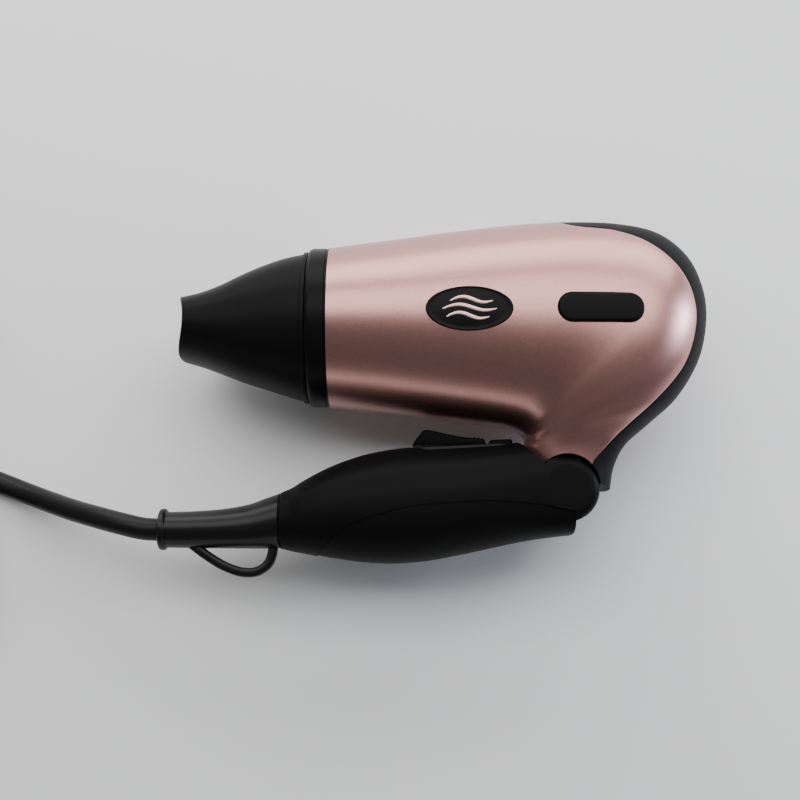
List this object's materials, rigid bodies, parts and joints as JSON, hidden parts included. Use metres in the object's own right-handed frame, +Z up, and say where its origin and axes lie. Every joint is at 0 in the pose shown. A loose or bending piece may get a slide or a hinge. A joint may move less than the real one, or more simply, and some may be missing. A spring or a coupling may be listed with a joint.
{
  "type": "folding travel hair dryer",
  "caption": "Compact hair dryer lying on its side, its handle folded under a rose-painted barrel, with a black concentrator nozzle, slide switch and corded boot with a hang loop.",
  "frame": {"origin": "on the surface the dryer lies on, under the middle of the dryer's box without its cord", "axes": "+X towards the back of the barrel, -X towards the nozzle tip, +Y towards the top of the barrel, -Y towards the folded handle, +Z up"},
  "size_m": [0.3581, 0.1798, 0.058],
  "materials": {
    "pink_paint": "satin metallic rose paint over moulded plastic",
    "handle_black": "satin moulded plastic with a fine grain",
    "grip_black": "matte moulded plastic",
    "cover_black": "matte moulded plastic",
    "pad_black": "matte moulded plastic",
    "badge_black": null,
    "ring_black": "satin heat-proof plastic",
    "nozzle_black": "satin heat-proof plastic",
    "switch_black": "glossy moulded plastic",
    "bezel_black": "satin moulded plastic",
    "inner_plastic": "plain moulded plastic",
    "fan_plastic": "plain moulded plastic",
    "filter_mesh": "fine mesh",
    "boot_rubber": "matte soft plastic",
    "cord_rubber": "satin cable sheath",
    "plug_black": "satin moulded plug",
    "brass_blades": "plain",
    "steel": "zinc plated",
    "bush_brass": "turned",
    "mica": "mica sheet",
    "heating_wire": "resistance wire",
    "thermal_parts": "plain",
    "board_green": "printed board",
    "lead_insulation": "wire insulation"
  },
  "bodies": {
    "handle": {"handle_shell_left": "handle_black", "handle_shell_right": "handle_black", "rear_grip": "grip_black", "switch_bezel": "bezel_black", "switch_module": "inner_plastic", "micro_switch": "inner_plastic", "cord_clamp": "inner_plastic", "clamp_screws": "steel", "cord_boot": "boot_rubber", "supply_lead": "cord_rubber", "handle_leads": "lead_insulation", "handle_screws": "steel", "hinge_pin": "steel", "hinge_bushes": "bush_brass", "power_cord": "cord_rubber", "cord_coil": "cord_rubber", "cord_tail": "cord_rubber", "cord_tie": "cord_rubber", "plug_body": "plug_black", "plug_blades": "brass_blades"},
    "switch": {"switch_slider": "switch_black"},
    "button": {"cool_shot_button": "switch_black"},
    "barrel": {"housing_shell_left": "pink_paint", "housing_shell_right": "pink_paint", "rear_inlet_cover": "cover_black", "inlet_filter": "filter_mesh", "side_pad_left": "pad_black", "side_pad_right": "pad_black", "badge_left": "badge_black", "badge_right": "badge_black", "outlet_ring": "ring_black", "outlet_grille": "inner_plastic", "heater_sleeve": "mica", "heater_boards": "mica", "heater_coils": "heating_wire", "thermostat": "thermal_parts", "thermal_fuse": "thermal_parts", "fan_duct": "inner_plastic", "motor": "steel", "rectifier_board": "board_green", "rectifier_diodes": "inner_plastic", "body_leads": "lead_insulation", "hinge_hub": "cover_black", "housing_screws": "steel"},
    "rotor": {"motor_shaft": "steel", "fan_impeller": "fan_plastic"},
    "nozzle": {"concentrator_nozzle": "nozzle_black"}
  },
  "joints": [
    {"name": "handle_fold", "type": "hinge", "parent": "handle", "child": "barrel", "pos_m": [0.0415, -0.03224, 0.029], "axis": [0, 0, -1], "range_deg": [0, 78]},
    {"name": "nozzle_turn", "type": "hinge", "parent": "barrel", "child": "nozzle", "pos_m": [-0.0432, 0.02396, 0.029], "axis": [1, 0, 0], "continuous": true},
    {"name": "fan_spin", "type": "hinge", "parent": "barrel", "child": "rotor", "pos_m": [0.0478, 0.02396, 0.029], "axis": [1, 0, 0], "continuous": true},
    {"name": "switch_slide", "type": "slide", "parent": "handle", "child": "switch", "axis": [-0.9988, -0.0488, 0], "range_m": [0, 0.008]},
    {"name": "cool_shot_press", "type": "slide", "parent": "handle", "child": "button", "axis": [0.0488, -0.9988, 0], "range_m": [0, 0.0012], "stiffness_N_per_m": 600}
  ]
}
